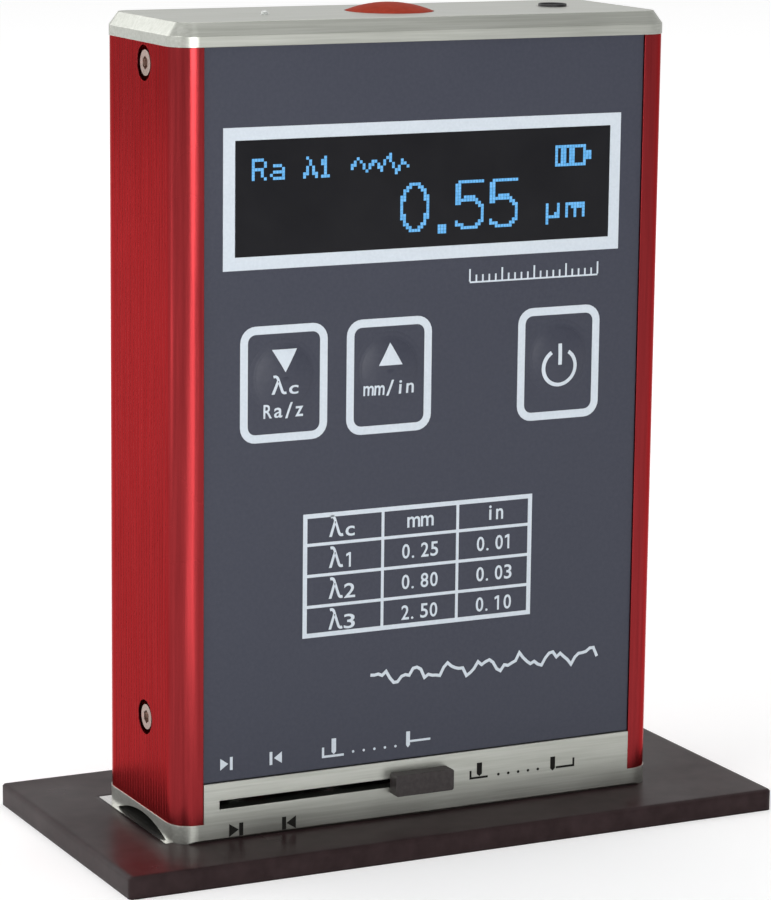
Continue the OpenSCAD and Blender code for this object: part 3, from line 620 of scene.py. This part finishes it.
x0, x1, z0, z1 = TABLE
inner = (x0 + TABLE_OUTER, x1 - TABLE_OUTER, z0 + TABLE_OUTER, z1 - TABLE_OUTER)
columns = [x0] + [x0 + (x1 - x0) * part for part in COLUMN_PARTS] + [x1]
row_height = (z1 - z0) / ROW_COUNT
lines = ring_quads(TABLE, inner)
for column in columns[1:-1]:
    lines.append(rectangle(column - TABLE_INNER / 2, column + TABLE_INNER / 2, inner[2], inner[3]))
stops = [inner[0]]
for column in columns[1:-1]:
    stops += [column - TABLE_INNER / 2, column + TABLE_INNER / 2]
stops.append(inner[1])
for row in range(1, ROW_COUNT):
    level = z0 + row_height * row
    for start, end in zip(stops[0::2], stops[1::2]):
        lines.append(rectangle(start, end, level - TABLE_INNER / 2, level + TABLE_INNER / 2))
film_print("table_lines_print", lines)

NUMBER_PITCH = 1.43
SIGN_PITCH = 2.05
NUMBER_HIGH = 2.0
cells = []
for row, texts in enumerate(TABLE_ROWS):
    for column, text in enumerate(texts):
        middle_x = (columns[column] + columns[column + 1]) / 2
        low = z1 - row_height * (row + 0.5) - NUMBER_HIGH / 2
        pitch = SIGN_PITCH if text[0] in "λm" else NUMBER_PITCH
        cells += even_words(text, middle_x, low, pitch, NUMBER_HIGH)
film_print("table_numbers_print", cells)


# A roughness trace, and a short scale under the display

TRACE_X = (-7.8, 27.3)
TRACE_Z = 19.8
TRACE_HIGH = 1.3
TRACE_STEPS = 60
TRACE_LINE = 0.42
# Share, pace and start of each wave in the trace
TRACE_WAVES = ((0.55, 41, 0), (0.3, 97, 1), (0.15, 173, 2))
trace = []
for i in range(TRACE_STEPS + 1):
    along = i / TRACE_STEPS
    swing = sum(share * math.sin(along * pace + start) for share, pace, start in TRACE_WAVES)
    trace.append((TRACE_X[0] + (TRACE_X[1] - TRACE_X[0]) * along, TRACE_Z + TRACE_HIGH * swing))
film_print("trace_print", band(trace, TRACE_LINE))

SCALE_X = (6.4, 26.0)
SCALE_TICKS = 21
SCALE_Z = 72.9
SCALE_LINE = 0.22
TICK_HALF = 0.12
TICK_SHORT = 1.1
TICK_LONG = 1.9
LONG_EVERY = 5
ticks = [rectangle(SCALE_X[0], SCALE_X[1], SCALE_Z, SCALE_Z + SCALE_LINE)]
for i in range(SCALE_TICKS):
    x = SCALE_X[0] + (SCALE_X[1] - SCALE_X[0]) * i / (SCALE_TICKS - 1)
    tall = TICK_LONG if i % LONG_EVERY == 0 else TICK_SHORT
    ticks.append(rectangle(x - TICK_HALF, x + TICK_HALF, SCALE_Z + SCALE_LINE, SCALE_Z + tall))
film_print("scale_print", ticks)


# Pictograms for the door and the pickup's travel: white on the film, black on the apron

NEEDLE_POINT = 0.35
TRAVEL_DOTS = 5


def needle(x, low, high, wide):
    """An upright stylus mark with a pointed foot."""
    left = x - wide / 2
    right = x + wide / 2
    shoulder = low + NEEDLE_POINT
    return [[(x, low), (right, shoulder), (right, high), (left, high), (left, shoulder)]]


def travel_dots(x_from, x_to, z, radius):
    """A row of dots between two stylus marks."""
    made = []
    for i in range(TRAVEL_DOTS):
        made += spot(x_from + (x_to - x_from) * (i + 1) / (TRAVEL_DOTS + 1), z, radius)
    return made


def door_mark(back, tip, bar, low, high):
    """An arrow that runs against an upright bar."""
    arrow = [(back, low), (tip, (low + high) / 2), (back, high)]
    return [arrow, rectangle(*bar)]


white = door_mark(back=-29.9, tip=-28.75, bar=(-28.5, -28.1, 9.5, 11.3), low=9.6, high=11.2)
white += door_mark(back=-20.9, tip=-22.05, bar=(-22.7, -22.3, 9.5, 11.3), low=9.6, high=11.2)
white += band([(-14.8, 11.0), (-14.8, 9.7), (-11.7, 9.7)], width=0.32)
white += needle(-13.2, low=9.9, high=12.1, wide=0.66)
white += travel_dots(-11.9, -2.3, z=9.95, radius=0.18)
white += needle(-2.0, low=9.55, high=11.8, wide=0.58)
white += [rectangle(-1.7, 1.4, 10.25, 10.55)]
film_print("travel_print", white)

black = door_mark(back=-28.75, tip=-27.35, bar=(-27.3, -26.7, 0.38, 2.18), low=0.38, high=2.18)
black += door_mark(back=-18.95, tip=-20.35, bar=(-21.0, -20.4, 0.38, 2.18), low=0.38, high=2.18)
black += band([(7.5, 5.2), (7.5, 4.1), (10.2, 4.1)], width=0.3)
black += needle(8.87, low=4.28, high=6.2, wide=0.8)
black += travel_dots(10.3, 19.6, z=4.2, radius=0.2)
black += needle(20.4, low=3.7, high=5.7, wide=0.75)
black += band([(20.9, 4.1), (23.7, 4.1), (23.7, 5.2)], width=0.3)
print_piece("apron_print", black, flat_face(APRON_Y), BLACK_INK, "tester")


# Lit dots of the display, found from strokes that run from dot to dot

# Pitch of the dots across and up, their size, and how far they stand proud
DOT_X = 0.43
DOT_Z = 0.41
DOT_SIZE = 0.39
DOT_PROUD = 0.01
SCREEN_LEFT = -27.8
SCREEN_LOW = 79.4
SCREEN_COLUMNS = 128
SCREEN_ROWS = 32

# Strokes of each sign, in parts of its width and height
STROKES = {
    "0": [arc(0.5, 0.5, 0.5, 0, 360, 32)],
    "5": [[(1, 1), (0.1, 1), (0, 0.56), (0.3, 0.62), (0.7, 0.62), (1, 0.46), (1, 0.16), (0.7, 0),
           (0.25, 0), (0, 0.12)]],
    "R": [[(0, 0), (0, 1), (0.75, 1), (1, 0.83), (1, 0.67), (0.75, 0.5), (0, 0.5)], [(0.5, 0.5), (1, 0)]],
    "a": [[(0.25, 1), (0.75, 1), (1, 0.75), (1, 0)],
          [(0.75, 0.5), (0.25, 0.5), (0, 0.25), (0.25, 0), (1, 0)]],
    "lambda": [[(0.25, 1), (0.5, 0.67), (1, 0)], [(0.5, 0.67), (0, 0)]],
    "1": [[(0, 0.67), (0.5, 1), (0.5, 0)], [(0, 0), (1, 0)]],
    "mu": [[(0, -0.5), (0, 1)], [(0, 0), (0.75, 0), (1, 0.25)], [(1, 1), (1, 0)]],
    "m": [[(0, 0), (0, 1), (0.33, 1), (0.5, 0.75), (0.5, 0)],
          [(0.5, 0.75), (0.67, 1), (0.83, 1), (1, 0.75), (1, 0)]],
    "wave": [[(0, 0.4), (0.12, 0.9), (0.25, 0.1), (0.4, 0.75), (0.52, 0.2), (0.66, 1), (0.8, 0),
              (0.9, 0.6), (1, 0.4)]],
}
# Sign, first column, lowest row, columns and rows that it takes, and the stroke's half width in dots
SCREEN_SIGNS = (
    ("R", 5, 21, 5, 7, 0.45),
    ("a", 11, 21, 5, 5, 0.45),
    ("lambda", 22, 21, 5, 7, 0.45),
    ("1", 28, 21, 3, 7, 0.45),
    ("wave", 38, 21, 20, 7, 0.45),
    ("0", 55, 2, 10, 16, 0.78),
    ("5", 74, 2, 10, 16, 0.78),
    ("5", 86, 2, 10, 16, 0.78),
    ("mu", 106, 4, 5, 5, 0.72),
    ("m", 113, 4, 7, 5, 0.72),
)
# Filled patches in columns and rows: the decimal point, and the battery sign's sides, bars and nub
SCREEN_PATCHES = (
    (68, 70, 1, 3),
    (109, 119, 27, 27),
    (109, 119, 21, 21),
    (109, 109, 21, 27),
    (119, 119, 21, 27),
    (120, 121, 23, 25),
    (111, 112, 22, 26),
    (114, 115, 22, 26),
)
# Keeps a stroke of no length from a division by nought
TINY = 1e-9


def distance_to_stroke(x, z, path):
    """Shortest way from a point to a path, in dots."""
    best = math.inf
    for (ax, az), (bx, bz) in zip(path, path[1:]):
        wide = bx - ax
        tall = bz - az
        along = ((x - ax) * wide + (z - az) * tall) / max(TINY, wide ** 2 + tall ** 2)
        along = min(1.0, max(0.0, along))
        best = min(best, math.hypot(x - ax - along * wide, z - az - along * tall))
    return best


def is_lit(column, row):
    """Whether a dot belongs to a sign or a patch."""
    for first, last, low, high in SCREEN_PATCHES:
        if first <= column <= last and low <= row <= high:
            return True
    for sign, first, low, wide, tall, half in SCREEN_SIGNS:
        for stroke in STROKES[sign]:
            path = [(first + u * (wide - 1), low + v * (tall - 1)) for u, v in stroke]
            if distance_to_stroke(column, row, path) <= half:
                return True
    return False


dots = []
for column in range(SCREEN_COLUMNS):
    for row in range(SCREEN_ROWS):
        x = SCREEN_LEFT + DOT_X * (column + 0.5)
        z = SCREEN_LOW + DOT_Z * (row + 0.5)
        if is_lit(column, row):
            dots.append(rectangle(x - DOT_SIZE / 2, x + DOT_SIZE / 2, z - DOT_SIZE / 2, z + DOT_SIZE / 2))
window_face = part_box("display_window")[0].y / MM
print_piece("lit_dots", dots, flat_face(window_face), LIT_DOTS, "tester", DOT_PROUD)


# Turned pieces on the cap: the charge lamp's lens and the charging socket's rim

TURN_STEPS = 40
CAP_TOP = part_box("top_cap")[1].z / MM
TURNED_FOOT = CAP_TOP - INK_SUNK
# Lens: radius, upright part, height of its dome and steps up the dome
LENS_RADIUS = 0.5
LENS_WALL = 0.12
LENS_DOME = 0.42
LENS_STEPS = 6
# Rim: the socket's radius, the rim's wall, rise and bevelled edge
SOCKET_RADIUS = 1.75
RIM_WALL = 0.2
RIM_RISE = 0.36
RIM_EDGE = 0.06


def middle_of(node):
    """Middle of a node's box across the frame, as (x, y) millimetres."""
    low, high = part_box(node)
    return (low.x + high.x) / 2 / MM, (low.y + high.y) / 2 / MM


def turned(name, profile, middle, material):
    """A closed profile of (radius, height) points turned about an upright axis."""
    mesh = bmesh.new()
    sides = []
    for i in range(TURN_STEPS):
        a = 2 * math.pi * i / TURN_STEPS
        side = []
        for radius, height in profile:
            place = (middle[0] + radius * math.cos(a), middle[1] + radius * math.sin(a), height)
            side.append(mesh.verts.new(place))
        sides.append(side)
    for i, side in enumerate(sides):
        after = sides[(i + 1) % TURN_STEPS]
        for j in range(len(profile)):
            k = (j + 1) % len(profile)
            if profile[j][0] > 0 or profile[k][0] > 0:
                mesh.faces.new((side[j], after[j], after[k], side[k]))
    bmesh.ops.remove_doubles(mesh, verts=mesh.verts, dist=WELD)
    add_piece(name, mesh, material, "tester")


lens_profile = [(0, TURNED_FOOT), (LENS_RADIUS, TURNED_FOOT)]
for i in range(LENS_STEPS):
    a = math.radians(90 * i / LENS_STEPS)
    lens_profile.append((LENS_RADIUS * math.cos(a), CAP_TOP + LENS_WALL + LENS_DOME * math.sin(a)))
lens_profile.append((0, CAP_TOP + LENS_WALL + LENS_DOME))
turned("charge_lamp_lens", lens_profile, middle_of("charge_lamp"), FINISHES["lamp_clear"])

rim_outer = SOCKET_RADIUS + RIM_WALL
rim_top = CAP_TOP + RIM_RISE
rim_profile = [(SOCKET_RADIUS, TURNED_FOOT), (rim_outer, TURNED_FOOT), (rim_outer, rim_top - RIM_EDGE),
               (rim_outer - RIM_EDGE, rim_top), (SOCKET_RADIUS + RIM_EDGE, rim_top),
               (SOCKET_RADIUS, rim_top - RIM_EDGE)]
turned("charge_jack_rim", rim_profile, middle_of("charge_jack"), FINISHES["black_plastic"])


# Floor, light and camera

FLOOR_REACH = 4.0
FLOOR_SEGMENTS = 8
floor_mesh = bmesh.new()
bmesh.ops.create_grid(floor_mesh, x_segments=FLOOR_SEGMENTS, y_segments=FLOOR_SEGMENTS, size=FLOOR_REACH)
floor_data = bpy.data.meshes.new("floor")
floor_mesh.to_mesh(floor_data)
floor_mesh.free()
floor = bpy.data.objects.new("floor", floor_data)
scene.collection.objects.link(floor)

WHITE = (1, 1, 1, 1)
FLOOR_COLOUR = (0.86, 0.86, 0.86, 1)
FLOOR_ROUGH = 0.9
FLOOR_SPECULAR = 0.1
# Glow of the floor for the camera far from the object, and near it where the shadow lies
FLOOR_GLOW = 0.55
SHADOW_GLOW = 0.25
SHADOW_REACH = (0.12, 0.6)
# Weaker glow that gloss shows
FLOOR_SHEEN = 0.3
floor_material, floor_tree, floor_shader = blank_material("floor_white")
floor_shader.inputs["Base Color"].default_value = FLOOR_COLOUR
floor_shader.inputs["Roughness"].default_value = FLOOR_ROUGH
floor_shader.inputs["Specular IOR Level"].default_value = FLOOR_SPECULAR
floor_shader.inputs["Emission Color"].default_value = WHITE
floor_rays = floor_tree.nodes.new("ShaderNodeLightPath").outputs
spot_on_floor = floor_tree.nodes.new("ShaderNodeTexCoord")
away = floor_tree.nodes.new("ShaderNodeVectorMath")
away.operation = "LENGTH"
link(floor_tree, spot_on_floor.outputs["Object"], away.inputs[0])
around = spread(floor_tree, away.outputs["Value"], SHADOW_GLOW, FLOOR_GLOW, *SHADOW_REACH)
sheen = calculate(floor_tree, "MULTIPLY", floor_rays["Is Glossy Ray"], FLOOR_SHEEN)
glow = calculate(floor_tree, "MULTIPLY_ADD", floor_rays["Is Camera Ray"], around, sheen)
link(floor_tree, glow, floor_shader.inputs["Emission Strength"])
floor_data.materials.append(floor_material)

# Light that the world gives
WORLD_LIGHT = 0.45
# Brightness that gloss shows of the room in front of the object, and of the white backdrop behind it
ROOM_BRIGHT = 0.45
BACKDROP_BRIGHT = 0.75
# Where the room turns into the backdrop, as the depth part of a ray's direction
ROOM_TURN = (-0.5, 0.3)
world = bpy.data.worlds.new("studio")
world.use_nodes = True
scene.world = world
world_tree = world.node_tree
background = world_tree.nodes["Background"]
background.inputs["Color"].default_value = WHITE
way = world_tree.nodes.new("ShaderNodeTexCoord")
parts = world_tree.nodes.new("ShaderNodeSeparateXYZ")
link(world_tree, way.outputs["Generated"], parts.inputs["Vector"])
room = spread(world_tree, parts.outputs["Y"], ROOM_BRIGHT, BACKDROP_BRIGHT, *ROOM_TURN)
rays = world_tree.nodes.new("ShaderNodeLightPath").outputs
# White for the camera, the room or backdrop for gloss and clear pieces, and the world's light for the rest
seen = world_tree.nodes.new("ShaderNodeMix")
seen.inputs["B"].default_value = 1.0
link(world_tree, rays["Is Camera Ray"], seen.inputs["Factor"])
link(world_tree, room, seen.inputs["A"])
straight = calculate(world_tree, "MAXIMUM", rays["Is Camera Ray"], rays["Is Glossy Ray"])
looked_at = calculate(world_tree, "MAXIMUM", straight, rays["Is Transmission Ray"])
level = world_tree.nodes.new("ShaderNodeMix")
level.inputs["A"].default_value = WORLD_LIGHT
link(world_tree, looked_at, level.inputs["Factor"])
link(world_tree, seen.outputs["Result"], level.inputs["B"])
link(world_tree, level.outputs["Result"], background.inputs["Strength"])

# Middle of the tester, which lamps face
TARGET = Vector((0, 0, 0.055))


def softbox(name, place, width, height, watts, aim=TARGET):
    """A soft area lamp that faces the tester, or another aim."""
    data = bpy.data.lights.new(name, "AREA")
    data.shape = "RECTANGLE"
    data.size = width
    data.size_y = height
    data.energy = watts
    lamp = bpy.data.objects.new(name, data)
    lamp.location = place
    lamp.rotation_mode = "QUATERNION"
    lamp.rotation_quaternion = (Vector(aim) - Vector(place)).to_track_quat("-Z", "Y")
    lamp.visible_camera = False
    scene.collection.objects.link(lamp)


softbox("softbox_left", (-0.80, -0.20, 0.50), width=0.5, height=0.6, watts=2.8)
softbox("softbox_key", (-0.10, -0.86, 0.115), width=0.36, height=0.22, watts=2.4)
softbox("softbox_top", (0.1, 0.15, 0.95), width=0.8, height=0.8, watts=3.6)
softbox("softbox_behind", (-0.40, 0.70, 0.34), width=0.40, height=0.40, watts=1.3)
# Flat strip lamps that lie in front of the tester and to its left, and face up
softbox("strip_front", (-0.088, -0.26, 0.003), width=0.115, height=0.40, watts=0.34, aim=(-0.088, -0.24, 1.0))
softbox("strip_left", (-0.417, 0.165, 0.003), width=0.09, height=0.56, watts=0.26, aim=(-0.397, 0.156, 1.0))

# Camera fitted to the photo: place, angles, focal length and the picture's long side in pixels, and sensor
CAMERA_PLACE = (-0.215608, -0.432315, 0.146693)
CAMERA_TURN = math.radians(26.525)
CAMERA_FALL = math.radians(11.154)
CAMERA_ROLL = math.radians(0.647)
FOCAL_PIXELS = 3587.1
LONG_SIDE = 900
SENSOR = 36.0
NEAR_CLIP = 0.01

ahead = math.cos(CAMERA_FALL)
forward = Vector((math.sin(CAMERA_TURN) * ahead, math.cos(CAMERA_TURN) * ahead, -math.sin(CAMERA_FALL)))
level_right = Vector((math.cos(CAMERA_TURN), -math.sin(CAMERA_TURN), 0))
level_up = level_right.cross(forward)
right = level_right * math.cos(CAMERA_ROLL) + level_up * math.sin(CAMERA_ROLL)
up = level_up * math.cos(CAMERA_ROLL) - level_right * math.sin(CAMERA_ROLL)
camera_data = bpy.data.cameras.new("camera")
camera_data.sensor_width = SENSOR
camera_data.lens = FOCAL_PIXELS * SENSOR / LONG_SIDE
camera_data.clip_start = NEAR_CLIP
camera = bpy.data.objects.new("camera", camera_data)
axes = Matrix((right, up, -forward)).transposed()
camera.matrix_world = Matrix.Translation(CAMERA_PLACE) @ axes.to_4x4()
scene.collection.objects.link(camera)
scene.camera = camera

scene.view_settings.view_transform = "Standard"
